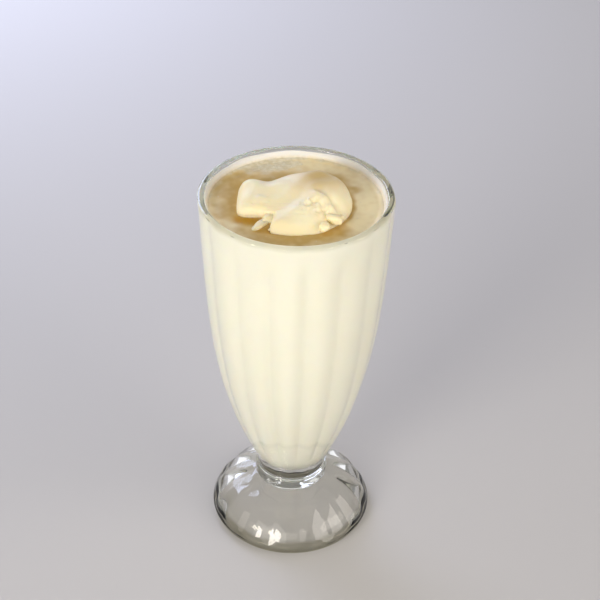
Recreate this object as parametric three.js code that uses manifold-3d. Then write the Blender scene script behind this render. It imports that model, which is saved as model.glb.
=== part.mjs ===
// Vanilla milkshake in a footed, fluted soda glass, with a scoop of vanilla ice cream afloat in it.
// Millimetres, +Z up. The origin is the centre of the foot's base, and -Y is the front.

import * as THREE from "three";
import { mergeVertices } from "three/addons/utils/BufferGeometryUtils.js";
import Module from "manifold-3d";

// The glass, in driving dimensions
const HEIGHT = 175;
const RIM_RADIUS = 41.3;
const RIM_TAPER = 0.042; // radius lost for each millimetre below the rim
const DRAW_IN = 22.3; // further radius lost from the rim down to the neck
const DRAW_IN_POWER = 3.45;
const NECK_RADIUS = 14.6;
const NECK_Z = 29;
const NECK_BLEND = 3.2; // how softly the bowl runs into the neck
const RIM_WALL = 3.4;
const BASE_WALL = 4.0;
const LIP_OUTER_ROUND = 1.3;
const LIP_INNER_ROUND = 0.8;
const BOWL_FLOOR_Z = 31.5;
const BOWL_CORNER = 11; // height of the rounded bottom of the bowl
const COLLAR_RADIUS = 16.7;
const COLLAR_BOTTOM_Z = 22.3;
const COLLAR_TOP_Z = 27.8;
const COLLAR_ROUND = 1.2;
const FOOT_RADIUS = 37.6;
const FOOT_EDGE_Z = 3.2; // height at which the foot is widest
const FOOT_SHOULDER_RADIUS = 36.2;
const FOOT_SHOULDER_Z = 6.6;
const FOOT_CROWN = [29, 17.2]; // the domed top of the foot bends towards this point
const FOOT_RING_RADIUS = 35.2; // outer edge of the flat ring that the glass stands on
const HOLLOW_RADIUS = 33.2; // mouth of the hollow under the foot
const HOLLOW_HEIGHT = 16;
const HOLLOW_CROWN = [30, 15.5]; // the hollow's roof bends towards this point

// The flutes, pressed into the outside only
const FLUTES = 16;
const FLUTE_VALLEY_DEG = 7.1; // one valley lies this far right of the front
const BODY_FLUTE_DEPTH = 0.95;
const RIM_FLUTE_DEPTH = 0.75;
const FOOT_FLUTE_DEPTH = 0.8;
const FLUTE_SOFTNESS = 0.25; // 0 is a knife-sharp valley, 1 a plain wave

// The drink and the scoop
const LEVEL_BELOW_RIM = 4.4;
const GAP = 0.3; // clearance between pieces that touch
const SCOOP_CENTRE = [-0.4, -3];
const SCOOP_HALF_WIDTH = 24.1;
const SCOOP_HALF_DEPTH = 20.5;
const SCOOP_PLAN_POWER = 2.8; // above 2, so the scoop is squarer than an ellipse seen from above
const SCOOP_RISE = 9;
const SCOOP_SIDE_RISE = 6.4; // part of the rise that the rounded side makes; a low crown makes the rest
const SCOOP_ROUND = 9; // how far in from the waterline the side rounds over
const SCOOP_SUNK = 13;
// The melted notch in the scoop's front left side, at an azimuth from +X
const NOTCH = { azimuth: 220, width: 18.5, depth: 9.8 };
const NOTCH_EDGE = 3; // height of the steep edge round the notch
const NOTCH_ROUND = 2.5; // how far in from the notch that edge rounds over
const NOTCH_SLOPE = 0.36; // the melted top's slope from there up to the dome
// Shallower bites out of the scoop's outline, in degrees and millimetres; a negative one swells out
const SCOOP_BITES = [
  { azimuth: 40, width: 20, depth: 2.6 },
  { azimuth: 325, width: 24, depth: 3.2 },
  { azimuth: 116, width: 22, depth: 3.0 },
  { azimuth: 150, width: 14, depth: -0.8 },
  { azimuth: 268, width: 14, depth: -0.6 },
];
// Lumps and hollows of the scoop's top: place seen from above, half widths and height of each
const SCOOP_LUMPS = [
  { at: [11, 3.5], halfWidths: [9, 9], height: 4.3 },
  { at: [-19.5, 5.5], halfWidths: [4, 4.5], height: 1.2 },
  { at: [-11.5, 7.5], halfWidths: [6.5, 7], height: -2.6 },
  { at: [-6, -14], halfWidths: [10, 5], height: 0.8 },
];

// Facets
const FLUTE_STEPS = 6;
const OUTER_SEGMENTS = FLUTES * FLUTE_STEPS;
const INNER_SEGMENTS = 48;
const BODY_RINGS = 11;
const WALL_RINGS = 9;
const SCOOP_SEGMENTS = 64;
const SCOOP_RINGS = 20;
const OUTLINE_STEPS = 240; // steps along the scoop's outline that distances are measured to

const LEVEL_Z = HEIGHT - LEVEL_BELOW_RIM;
const MOUTH_RADIUS = RIM_RADIUS - RIM_WALL;

const wasm = await Module();
wasm.setup();

// A three.js geometry as a manifold-3d solid
function toSolid(geometry) {
  const bare = geometry.clone();
  bare.deleteAttribute("normal");
  bare.deleteAttribute("uv");
  const merged = mergeVertices(bare, 1e-3);
  return new wasm.Manifold(
    new wasm.Mesh({
      numProp: 3,
      vertProperties: merged.attributes.position.array,
      triVerts: new Uint32Array(merged.index.array),
    }),
  );
}

// A manifold-3d solid as a three.js geometry
function toGeometry(solid) {
  const { numProp, numVert, vertProperties, triVerts } = solid.getMesh();
  const positions = new Float32Array(numVert * 3);
  for (let i = 0; i < numVert; i++) {
    positions.set(vertProperties.subarray(i * numProp, i * numProp + 3), i * 3);
  }
  const geometry = new THREE.BufferGeometry();
  geometry.setAttribute("position", new THREE.BufferAttribute(positions, 3));
  geometry.setIndex(new THREE.BufferAttribute(triVerts, 1));
  geometry.computeVertexNormals();
  return geometry;
}

// A profile of [radius, height] points spun round Z, its first vertex on a flute valley
function spin(profile, segments) {
  const points = profile.map(([radius, z]) => new THREE.Vector2(radius, z));
  const start = THREE.MathUtils.degToRad(FLUTE_VALLEY_DEG);
  return new THREE.LatheGeometry(points, segments, start, 2 * Math.PI).rotateX(Math.PI / 2);
}

// Moves each vertex of a geometry to where place([x, y, z]) puts it
function moveVertices(geometry, place) {
  const position = geometry.attributes.position;
  for (let i = 0; i < position.count; i++) {
    position.setXYZ(i, ...place([position.getX(i), position.getY(i), position.getZ(i)]));
  }
  return geometry;
}

// Points along a quarter of an ellipse, from one angle to another in degrees
function arc(centreRadius, centreZ, halfWidth, halfHeight, fromDeg, toDeg, steps) {
  return Array.from({ length: steps + 1 }, (_, i) => {
    const angle = THREE.MathUtils.degToRad(fromDeg + ((toDeg - fromDeg) * i) / steps);
    return [centreRadius + halfWidth * Math.cos(angle), centreZ + halfHeight * Math.sin(angle)];
  });
}

// Points along a quadratic curve from one point to another, bent towards a third
function bend(from, towards, to, steps) {
  const curve = new THREE.QuadraticBezierCurve(
    new THREE.Vector2(...from),
    new THREE.Vector2(...towards),
    new THREE.Vector2(...to),
  );
  return curve.getPoints(steps).map((point) => [point.x, point.y]);
}

// 0 below low, 1 above high, and smooth between
const ramp = (value, low, high) => THREE.MathUtils.smoothstep(value, low, high);

// Outer radius of the bowl over the flute crests: a straight taper, drawn in to the neck by a power
function bowlRadius(z) {
  const below = (HEIGHT - z) / (HEIGHT - NECK_Z);
  const drawn = RIM_RADIUS - RIM_TAPER * (HEIGHT - z) - DRAW_IN * below ** DRAW_IN_POWER;
  return (drawn + NECK_RADIUS + Math.hypot(drawn - NECK_RADIUS, NECK_BLEND)) / 2;
}

// Radius of the smooth inner wall; the wall thickens towards the neck
function innerRadius(z) {
  const down = (HEIGHT - z) / (HEIGHT - NECK_Z);
  return bowlRadius(z) - THREE.MathUtils.lerp(RIM_WALL, BASE_WALL, down);
}

// How deep the flutes are pressed at a height: none on the foot's edge, the collar or the neck
function fluteDepth(z) {
  if (z < COLLAR_BOTTOM_Z) {
    const rise = ramp(z, FOOT_EDGE_Z, FOOT_SHOULDER_Z + 1);
    return FOOT_FLUTE_DEPTH * rise * (1 - ramp(z, COLLAR_BOTTOM_Z - 4, COLLAR_BOTTOM_Z));
  }
  const full = THREE.MathUtils.lerp(BODY_FLUTE_DEPTH, RIM_FLUTE_DEPTH, ramp(z, HEIGHT - 12, HEIGHT - 3));
  return full * ramp(z, NECK_Z, NECK_Z + 22);
}

// 1 in a flute's valley and 0 on its crest, from the softened absolute sine of the azimuth
function valley(azimuth) {
  const phase = (FLUTES * (azimuth - THREE.MathUtils.degToRad(FLUTE_VALLEY_DEG))) / 2;
  const wave = Math.hypot(Math.sin(phase), FLUTE_SOFTNESS) - FLUTE_SOFTNESS;
  return 1 - wave / (Math.hypot(1, FLUTE_SOFTNESS) - FLUTE_SOFTNESS);
}

// Presses the flutes into a spun solid; the lip's inner half keeps its circle
function pressFlutes([x, y, z]) {
  const radius = Math.hypot(x, y);
  if (radius < 1e-6) return [x, y, z];
  const lipShare = z < LEVEL_Z ? 1 : ramp(radius, MOUTH_RADIUS + 0.5 * RIM_WALL, RIM_RADIUS - 0.3);
  const depth = fluteDepth(z) * lipShare * valley(Math.atan2(x, -y));
  const scale = (radius - depth) / radius;
  return [x * scale, y * scale, z];
}

// The glass as a full solid: base ring, foot, collar, neck, bowl and lip, closed over the top
function glassOutside() {
  const lipZ = HEIGHT - LIP_OUTER_ROUND;
  const body = Array.from({ length: BODY_RINGS + 1 }, (_, i) => {
    const z = COLLAR_TOP_Z + 0.6 + (lipZ - COLLAR_TOP_Z - 0.6) * (i / BODY_RINGS) ** 1.25;
    return [bowlRadius(z), z];
  });
  const profile = [
    [0, 0],
    ...arc(FOOT_RING_RADIUS, FOOT_EDGE_Z, FOOT_RADIUS - FOOT_RING_RADIUS, FOOT_EDGE_Z, -90, 0, 3),
    ...bend(
      [FOOT_SHOULDER_RADIUS, FOOT_SHOULDER_Z],
      FOOT_CROWN,
      [COLLAR_RADIUS - 0.3, COLLAR_BOTTOM_Z],
      5,
    ),
    [COLLAR_RADIUS, COLLAR_BOTTOM_Z + 0.8],
    ...arc(
      COLLAR_RADIUS - COLLAR_ROUND,
      COLLAR_TOP_Z - COLLAR_ROUND,
      COLLAR_ROUND,
      COLLAR_ROUND,
      0,
      75,
      2,
    ),
    ...body,
    ...arc(RIM_RADIUS - LIP_OUTER_ROUND, lipZ, LIP_OUTER_ROUND, LIP_OUTER_ROUND, 30, 90, 2),
    [0, HEIGHT],
  ];
  return toSolid(moveVertices(spin(profile, OUTER_SEGMENTS), pressFlutes));
}

// Profile of the space inside the bowl, shrunk by inset, up to a height
function bowlProfile(inset, topZ, rings) {
  const cornerZ = BOWL_FLOOR_Z + BOWL_CORNER;
  const corner = innerRadius(cornerZ);
  const slope = innerRadius(cornerZ + 0.5) - innerRadius(cornerZ - 0.5);
  const tangent = corner - slope * BOWL_CORNER;
  const floorZ = BOWL_FLOOR_Z + inset;
  const bottom = bend([0, floorZ], [tangent - inset, floorZ], [corner - inset, cornerZ], 6);
  const wall = Array.from({ length: rings }, (_, i) => {
    const z = cornerZ + ((topZ - cornerZ) * (i + 1)) / rings;
    return [innerRadius(z) - inset, z];
  });
  return [...bottom, ...wall];
}

// The space inside the bowl with the lip's inner round, running out of the top
function bowlSpace() {
  const lipZ = HEIGHT - LIP_INNER_ROUND;
  const edge = innerRadius(lipZ);
  const round = arc(edge + LIP_INNER_ROUND, lipZ, LIP_INNER_ROUND, LIP_INNER_ROUND, 180, 90, 2);
  const profile = [
    ...bowlProfile(0, lipZ, WALL_RINGS),
    ...round.slice(1),
    [edge + LIP_INNER_ROUND, HEIGHT + 2],
    [0, HEIGHT + 2],
  ];
  return toSolid(spin(profile, INNER_SEGMENTS));
}

// The hollow pressed up under the foot, running out of the bottom
function footHollow() {
  const profile = [
    [0, -2],
    [HOLLOW_RADIUS, -2],
    ...bend([HOLLOW_RADIUS, 0], HOLLOW_CROWN, [0, HOLLOW_HEIGHT], 6),
  ];
  return toSolid(spin(profile, INNER_SEGMENTS));
}

// A bell of height 1 over an azimuth in degrees: a higher power makes it flatter on top
function bell(azimuth, atDeg, widthDeg, power) {
  const turn = azimuth - THREE.MathUtils.degToRad(atDeg);
  const off = THREE.MathUtils.radToDeg(Math.atan2(Math.sin(turn), Math.cos(turn)));
  return Math.exp(-(Math.abs(off / widthDeg) ** power));
}

// The scoop's outline seen from above: a superellipse less its bites and a melted notch of some depth
function scoopOutline(azimuth, notchDepth) {
  const across = Math.abs(Math.cos(azimuth) / SCOOP_HALF_WIDTH) ** SCOOP_PLAN_POWER;
  const along = Math.abs(Math.sin(azimuth) / SCOOP_HALF_DEPTH) ** SCOOP_PLAN_POWER;
  const bitten = SCOOP_BITES.reduce(
    (radius, bite) => radius - bite.depth * bell(azimuth, bite.azimuth, bite.width, 2),
    (across + along) ** (-1 / SCOOP_PLAN_POWER),
  );
  return bitten - notchDepth * bell(azimuth, NOTCH.azimuth, NOTCH.width, 4);
}

// Distance seen from above to the scoop's outline between two azimuths, the outline grown outwards by grow
function outlineDistance(x, y, grow, notchDepth, fromDeg, toDeg) {
  let nearest = Infinity;
  for (let i = 0; i <= OUTLINE_STEPS; i++) {
    const azimuth = THREE.MathUtils.degToRad(fromDeg + ((toDeg - fromDeg) * i) / OUTLINE_STEPS);
    const radius = scoopOutline(azimuth, notchDepth) + grow;
    nearest = Math.min(nearest, Math.hypot(x - radius * Math.cos(azimuth), y - radius * Math.sin(azimuth)));
  }
  return nearest;
}

// Rises from 0 to 1 as a quarter circle while t goes from 0 to 1, and stays at 1
const quarterRound = (t) => Math.sqrt(1 - (1 - Math.min(t, 1)) ** 2);

// The lesser of two heights, rounded where they meet
const softMin = (a, b) => (a ** -4 + b ** -4) ** -0.25;

// Height of the scoop above the drink's level: a lumpy dome, melted down towards the notch
function scoopHeight(x, y, grow) {
  const share = Math.hypot(x, y) / (scoopOutline(Math.atan2(y, x), 0) + grow);
  const side = quarterRound(outlineDistance(x, y, grow, 0, 0, 360) / SCOOP_ROUND);
  const crown = (SCOOP_RISE - SCOOP_SIDE_RISE) * (1 - Math.min(share, 1) ** 2);
  const lumps = SCOOP_LUMPS.reduce((sum, { at, halfWidths, height }) => {
    const acrossX = (SCOOP_CENTRE[0] + x - at[0]) / halfWidths[0];
    const acrossY = (SCOOP_CENTRE[1] + y - at[1]) / halfWidths[1];
    return sum + height * Math.exp(-(acrossX ** 2) - acrossY ** 2);
  }, 0);
  const reach = 1.4 * NOTCH.width; // the notch is deeper than 0.2 mm over this much to either side
  const away = outlineDistance(x, y, grow, NOTCH.depth, NOTCH.azimuth - reach, NOTCH.azimuth + reach);
  const melted = NOTCH_EDGE * quarterRound(away / NOTCH_ROUND) + NOTCH_SLOPE * away;
  return softMin(SCOOP_SIDE_RISE * side + crown + ramp(side, 0, 0.6) * lumps, melted);
}

// A unit sphere's vertex on the scoop, which is grown outwards by grow
function onScoop([x, y, z], grow) {
  const outline = scoopOutline(Math.atan2(y, x), NOTCH.depth) + grow;
  const planX = outline * x;
  const planY = outline * y;
  const height = z < 1e-6 ? (SCOOP_SUNK + grow) * Math.min(z, 0) : scoopHeight(planX, planY, grow);
  return [SCOOP_CENTRE[0] + planX, SCOOP_CENTRE[1] + planY, LEVEL_Z + height];
}

// The ice cream scoop as a geometry, grown outwards by grow
function scoopGeometry(grow) {
  const ball = new THREE.SphereGeometry(1, SCOOP_SEGMENTS, SCOOP_RINGS).rotateX(Math.PI / 2);
  return moveVertices(ball, (vertex) => onScoop(vertex, grow));
}

// The drink up to its level, cut round the scoop
function drinkSolid() {
  const profile = [...bowlProfile(GAP, LEVEL_Z, WALL_RINGS), [0, LEVEL_Z]];
  return toSolid(spin(profile, INNER_SEGMENTS)).subtract(toSolid(scoopGeometry(GAP)));
}

// Clear, faintly grey-green pressed soda-lime glass
const glassMaterial = new THREE.MeshStandardMaterial({
  color: 0xdfe5e0,
  roughness: 0.03,
  metalness: 0,
  transparent: true,
  opacity: 0.3,
});
// Milk blended with vanilla ice cream
const milkshakeMaterial = new THREE.MeshStandardMaterial({
  color: 0xf8f1da,
  roughness: 0.45,
  metalness: 0,
});
// Vanilla ice cream, half melted
const iceCreamMaterial = new THREE.MeshStandardMaterial({
  color: 0xfcf0cb,
  roughness: 0.5,
  metalness: 0,
});

function piece(name, geometry, material) {
  const mesh = new THREE.Mesh(geometry, material);
  mesh.name = name;
  return mesh;
}

const glass = glassOutside().subtract(bowlSpace()).subtract(footHollow());
const scoop = toGeometry(toSolid(scoopGeometry(0)));

const milkshake = new THREE.Group();
milkshake.add(piece("glass", toGeometry(glass), glassMaterial));
milkshake.add(piece("milkshake", toGeometry(drinkSolid()), milkshakeMaterial));
milkshake.add(piece("ice_cream_scoop", scoop, iceCreamMaterial));

export default milkshake;
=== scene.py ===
"""Vanilla milkshake in a footed, fluted soda glass, with a scoop of vanilla ice cream afloat in it.

Lengths in the shape functions are millimetres, as in the frame's driving dimensions, and meshes are in
metres. The front of the glass faces -Y, and an azimuth is counted from the front towards +X.
"""

import bpy
import numpy as np
from bpy.props import FloatProperty, FloatVectorProperty, IntProperty, PointerProperty
from mathutils import Matrix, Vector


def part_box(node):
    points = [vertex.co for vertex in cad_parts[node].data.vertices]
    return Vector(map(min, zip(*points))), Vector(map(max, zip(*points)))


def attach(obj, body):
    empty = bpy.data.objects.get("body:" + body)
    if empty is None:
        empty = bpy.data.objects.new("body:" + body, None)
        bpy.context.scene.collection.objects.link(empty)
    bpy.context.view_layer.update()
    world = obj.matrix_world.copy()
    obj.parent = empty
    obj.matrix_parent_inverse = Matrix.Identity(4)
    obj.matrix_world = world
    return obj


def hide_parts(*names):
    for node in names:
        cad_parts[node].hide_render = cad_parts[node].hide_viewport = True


bl_info = {
    "name": "Vanilla Milkshake",
    "version": (1, 0, 0),
    "blender": (4, 5, 0),
    "location": "View3D > Sidebar > Milkshake",
    "description": "Builds a vanilla milkshake with ice cream in a fluted soda glass",
    "category": "Add Mesh",
}

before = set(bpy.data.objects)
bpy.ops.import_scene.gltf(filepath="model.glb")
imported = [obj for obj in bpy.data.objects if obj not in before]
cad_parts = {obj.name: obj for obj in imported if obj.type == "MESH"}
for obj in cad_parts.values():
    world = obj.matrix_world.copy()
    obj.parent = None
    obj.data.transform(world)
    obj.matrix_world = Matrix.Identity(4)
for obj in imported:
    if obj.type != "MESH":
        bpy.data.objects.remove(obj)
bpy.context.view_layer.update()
MM = 0.001

# The glass, in the same driving dimensions as the frame's solids
HEIGHT = round(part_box("glass")[1].z / MM, 1)
RIM_RADIUS = 41.3
RIM_TAPER = 0.042
DRAW_IN = 22.3
DRAW_IN_POWER = 3.45
NECK_RADIUS = 14.6
NECK_Z = 29.0
NECK_BLEND = 3.2
RIM_WALL = 3.4
BASE_WALL = 4.0
LIP_OUTER_ROUND = 1.3
LIP_INNER_ROUND = 0.8
BOWL_FLOOR_Z = 31.5
BOWL_CORNER = 11.0
COLLAR_RADIUS = 16.7
COLLAR_BOTTOM_Z = 22.3
COLLAR_TOP_Z = 27.8
COLLAR_ROUND = 1.2
# The foot's top ends inside the collar, the collar leans out at its foot, and the bowl starts above it
COLLAR_INSET = 0.3
COLLAR_LEAN = 0.8
BOWL_START = 0.6
FOOT_RADIUS = 37.6
FOOT_EDGE_Z = 3.2
FOOT_SHOULDER = (36.2, 6.6)
FOOT_CROWN = (29.0, 17.2)
FOOT_RING_RADIUS = 35.2
HOLLOW_RADIUS = 33.2
HOLLOW_HEIGHT = 16.0
HOLLOW_CROWN = (30.0, 15.5)
FLUTES = 16
FLUTE_VALLEY = np.radians(7.1)
FLUTE_SOFTNESS = 0.25
# Over how much height the flutes fade above the neck and below the collar; and where they change depth below
# the rim
BODY_FLUTE_FADE = 22.0
FOOT_FLUTE_FADE = 4.0
RIM_FLUTE_BAND = (12.0, 3.0)
# The inner wall bulges behind each flute: its share of the flute's depth, where it starts above the neck and
# where it ends below the rim
INNER_FLUTE_SHARE = 1.2
INNER_FLUTE_START = (6.0, 30.0)
INNER_FLUTE_END = (18.0, 9.0)
# The glass's section: its number of points, and how far its corners are softened; and the columns that it is
# spun into, which the drink shares
PROFILE_POINTS = 250
PROFILE_SOFTNESS = 0.3
COLUMNS = 24 * FLUTES

# The drink's level and the scoop, as in the frame
LEVEL_Z = round(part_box("milkshake")[1].z / MM, 1)
MOUTH_RADIUS = RIM_RADIUS - RIM_WALL
SCOOP_CENTRE = (-0.4, -3.0)
SCOOP_PLAN_POWER = 2.8
SCOOP_SUNK = 13.0
# The scoop's side, behind and in front: how far in from the waterline it rounds over, and the power of its
# section, which is 2 for a quarter circle and 1 for a straight slope
SCOOP_ROUND = (9.0, 11.5)
SCOOP_SECTION = (2.0, 1.35)
# The share of the front half over which the section changes, the side's share of the rise, and the share of
# the side over which lumps fade in
FORWARD_SHARE = 0.7
SIDE_SHARE = 0.71
LUMP_FADE = 0.6
# How sharply the dome and the melted top meet, and the share of the side over which fine relief fades in
MEETING_POWER = 4
RELIEF_FADE = (0.1, 0.7)
# The melted notch at the front left: azimuth from +X and width in degrees, and the widths its edge reaches
NOTCH = (220.0, 18.5)
NOTCH_REACH = 1.4
# Its steep edge: height and how far in it rounds over; and the slope of the melted top up to the dome
NOTCH_EDGE = 3.0
NOTCH_ROUND = 2.5
NOTCH_SLOPE = 0.36
# Shallower bites, in degrees and millimetres: azimuth, width and depth; a negative one swells out
SCOOP_BITES = (
    (40.0, 20.0, 2.6),
    (325.0, 24.0, 3.2),
    (116.0, 22.0, 3.0),
    (148.0, 12.0, -1.5),
    (268.0, 14.0, -0.6),
)

# How far the drink reaches into the glass wall, so that no air shows between them
INTO_WALL = 0.06
# The film of froth on the wall: its thickness above, how much it widens at its foot and by what power, and
# how high that foot stands
FILM_THICKNESS = 0.25
FILM_FOOT = 0.9
FILM_FOOT_POWER = 2.2
FILM_FOOT_RISE = 0.5
# Where the drink's top starts to level out, just beyond the film's foot, and over what width it does
LEVEL_START = 0.3 + FILM_FOOT
LEVEL_WIDTH = 1.6
# The dip in the drink round the scoop and under its amber pools: depth, and width round the scoop
DIP_DEPTH = 0.3
DIP_WIDTH = 2.0
# How far the scoop's underside reaches into the drink
INTO_DRINK = 0.15

# The photograph's camera: it looks at the middle of the glass's height from the front
CAMERA_ELEVATION = np.radians(38.71)
CAMERA_DISTANCE = 610.6
CAMERA_ROLL = np.radians(1.257)
PHOTO_SIZE = 600
FOCAL_PIXELS = 1350
SENSOR_WIDTH = 36.0
AIM_PIXEL = (294.2, 359.4)

# The stage's floor: half its width in metres, and its height, just under the glass
FLOOR_HALF = 4.0
FLOOR_Z = -0.1


def smoothstep(value, low, high):
    """0 below low, 1 above high, and 3t^2 - 2t^3 between them."""
    t = np.clip((value - low) / (high - low), 0, 1)
    return t * t * (3 - 2 * t)


def bump(distance, width, power=2):
    """A bell of height 1 at distance 0: the exponential of minus the distance over the width, to a power."""
    return np.exp(-(np.abs(distance / width) ** power))


def waves(points, wavelength, seed, count=36):
    """Smooth noise with a spread of about 1: a sum of cosines with seeded directions, lengths and phases."""
    draw = np.random.default_rng(seed)
    directions = draw.normal(size=(count, points.shape[-1]))
    directions /= np.linalg.norm(directions, axis=1, keepdims=True)
    lengths = wavelength * draw.uniform(0.7, 1.5, count)
    phases = draw.uniform(0, 2 * np.pi, count)
    angles = points @ (directions * (2 * np.pi / lengths)[:, None]).T + phases
    return np.cos(angles).sum(-1) * 1.6 / np.sqrt(count)


def arc(centre, half_width, half_height, from_deg, to_deg, steps=40):
    """Points of an ellipse about a centre, from one angle to another in degrees."""
    angle = np.radians(np.linspace(from_deg, to_deg, steps))
    return np.stack([centre[0] + half_width * np.cos(angle), centre[1] + half_height * np.sin(angle)], -1)


def bend(start, towards, end, steps=80):
    """Points of the quadratic curve from start to end that is drawn towards a third point."""
    t = np.linspace(0, 1, steps)[:, None]
    start, towards, end = (np.array(p, float) for p in (start, towards, end))
    return (1 - t) ** 2 * start + 2 * t * (1 - t) * towards + t**2 * end


def resample(profile, count, softness, turn_share=0.35):
    """A profile resampled to count points, softened and denser where it turns.

    The profile is stepped finely, its corners are averaged over the softness, and the points are spread
    evenly along length plus a share of the turning angle.
    """
    step = 0.05
    along = np.concatenate([[0], np.cumsum(np.linalg.norm(np.diff(profile, axis=0), axis=1))])
    fine_along = np.arange(0, along[-1], step)
    fine = np.stack([np.interp(fine_along, along, profile[:, k]) for k in (0, 1)], -1)
    reach = int(3 * softness / step)
    bell = bump(np.arange(-reach, reach + 1) * step, softness)
    padded = np.pad(fine, ((reach, reach), (0, 0)), mode="reflect", reflect_type="odd")
    soft = np.stack([np.convolve(padded[:, k], bell / bell.sum(), mode="valid") for k in (0, 1)], -1)
    heading = np.unwrap(np.arctan2(np.gradient(soft[:, 1]), np.gradient(soft[:, 0])))
    turning = np.abs(np.gradient(heading))
    spread = np.cumsum(step / fine_along[-1] + turn_share * turning / turning.sum())
    wanted = np.linspace(spread[0], spread[-1], count)
    made = np.stack([np.interp(wanted, spread, soft[:, k]) for k in (0, 1)], -1)
    made[0], made[-1] = profile[0], profile[-1]
    return made


def bowl_radius(z):
    """Outer radius over the flute crests: a straight taper, drawn in to the neck by a power of the depth."""
    below = (HEIGHT - z) / (HEIGHT - NECK_Z)
    drawn = RIM_RADIUS - RIM_TAPER * (HEIGHT - z) - DRAW_IN * below**DRAW_IN_POWER
    return (drawn + NECK_RADIUS + np.hypot(drawn - NECK_RADIUS, NECK_BLEND)) / 2


def inner_radius(z):
    """Radius of the smooth inner wall: the outer radius less a wall that thickens towards the neck."""
    down = (HEIGHT - z) / (HEIGHT - NECK_Z)
    return bowl_radius(z) - RIM_WALL - (BASE_WALL - RIM_WALL) * down


def valley(azimuth):
    """1 in a flute's valley and 0 on its crest: one less the softened absolute sine of the azimuth."""
    phase = FLUTES * (azimuth - FLUTE_VALLEY) / 2
    wave = np.hypot(np.sin(phase), FLUTE_SOFTNESS) - FLUTE_SOFTNESS
    return 1 - wave / (np.hypot(1, FLUTE_SOFTNESS) - FLUTE_SOFTNESS)


def flute_depth(z, look):
    """Depth of the flutes at a height: none on the foot's edge, the collar and the neck."""
    foot = smoothstep(z, FOOT_EDGE_Z, FOOT_SHOULDER[1] + 1)
    foot = foot * (1 - smoothstep(z, COLLAR_BOTTOM_Z - FOOT_FLUTE_FADE, COLLAR_BOTTOM_Z))
    rim = smoothstep(z, *(HEIGHT - down for down in RIM_FLUTE_BAND))
    full = look.body_flute_depth + (look.rim_flute_depth - look.body_flute_depth) * rim
    body = full * smoothstep(z, NECK_Z, NECK_Z + BODY_FLUTE_FADE)
    return np.where(z < COLLAR_BOTTOM_Z, foot * look.foot_flute_depth, body) / MM


def inner_flute(azimuth, z, look):
    """How far the inner wall bulges inwards behind a flute's valley."""
    start = smoothstep(z, *(NECK_Z + up for up in INNER_FLUTE_START))
    end = smoothstep(z, *(HEIGHT - down for down in INNER_FLUTE_END))
    return INNER_FLUTE_SHARE * look.body_flute_depth / MM * start * (1 - end) * valley(azimuth)


def add_mesh(name, vertices, quads, triangles, material):
    """A smooth mesh object at the origin from arrays, with vertices in millimetres."""
    mesh = bpy.data.meshes.new(name)
    mesh.vertices.add(len(vertices))
    mesh.vertices.foreach_set("co", (vertices * MM).astype(np.float32).ravel())
    corners = np.concatenate([quads.ravel(), triangles.ravel()]).astype(np.int32)
    mesh.loops.add(len(corners))
    mesh.loops.foreach_set("vertex_index", corners)
    starts = np.concatenate([4 * np.arange(len(quads)), 4 * len(quads) + 3 * np.arange(len(triangles))])
    mesh.polygons.add(len(starts))
    mesh.polygons.foreach_set("loop_start", starts.astype(np.int32))
    mesh.update(calc_edges=True)
    mesh.validate()
    mesh.shade_smooth()
    mesh.materials.append(material)
    made = bpy.data.objects.new(name, mesh)
    bpy.context.scene.collection.objects.link(made)
    return made


def skin_arrays(rings):
    """Vertices, quads and triangles of a closed surface of rings, whose first and last rings are poles.

    rings has the shape (rings, columns, 3), and every point of a pole ring is the same point. Columns run
    anticlockwise seen from above and rings run up the outside, so that the faces point outwards.
    """
    count, columns = rings.shape[:2]
    body = rings[1:-1].reshape(-1, 3)
    vertices = np.concatenate([body, rings[:1, 0], rings[-1:, 0]])
    row, column = np.meshgrid(np.arange(count - 3), np.arange(columns), indexing="ij")
    here = row * columns + column
    beside = row * columns + (column + 1) % columns
    quads = np.stack([here, beside, beside + columns, here + columns], -1).reshape(-1, 4)
    turn = np.arange(columns)
    turned = (turn + 1) % columns
    last = (count - 3) * columns
    start_fan = np.stack([np.full(columns, len(body)), turned, turn], -1)
    end_fan = np.stack([np.full(columns, len(body) + 1), last + turn, last + turned], -1)
    return vertices, quads, np.concatenate([start_fan, end_fan])


def add_skin(name, rings, material):
    """A closed surface of rings as a mesh object."""
    return add_mesh(name, *skin_arrays(rings), material)


def set_attribute(piece, name, values):
    """Stores one number for each vertex of a piece, for its material to read."""
    layer = piece.data.attributes.new(name, "FLOAT", "POINT")
    layer.data.foreach_set("value", np.asarray(values, np.float32).ravel())


def skin_values(values):
    """Numbers on a skin's rings in the order of its vertices: those between the poles, then the poles."""
    return np.concatenate([values[1:-1].ravel(), values[:1, 0], values[-1:, 0]])


def spin(profile, columns):
    """Radius, azimuth and height of each point of a profile spun round Z."""
    azimuth = np.arange(columns) * 2 * np.pi / columns + FLUTE_VALLEY
    radius, angle = np.meshgrid(profile[:, 0], azimuth, indexing="ij")
    height = np.repeat(profile[:, 1:], columns, axis=1)
    return radius, angle, height


def cartesian(radius, azimuth, z):
    """Points from radius, azimuth counted from the front, and height."""
    return np.stack([radius * np.sin(azimuth), -radius * np.cos(azimuth), z], -1)


# Materials


def linear(hex_colour):
    """An sRGB hex colour as linear red, green, blue and alpha."""
    srgb = np.array([int(hex_colour[i : i + 2], 16) for i in (1, 3, 5)]) / 255
    rgb = np.where(srgb <= 0.04045, srgb / 12.92, ((srgb + 0.055) / 1.055) ** 2.4)
    return (*rgb.tolist(), 1.0)


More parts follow.
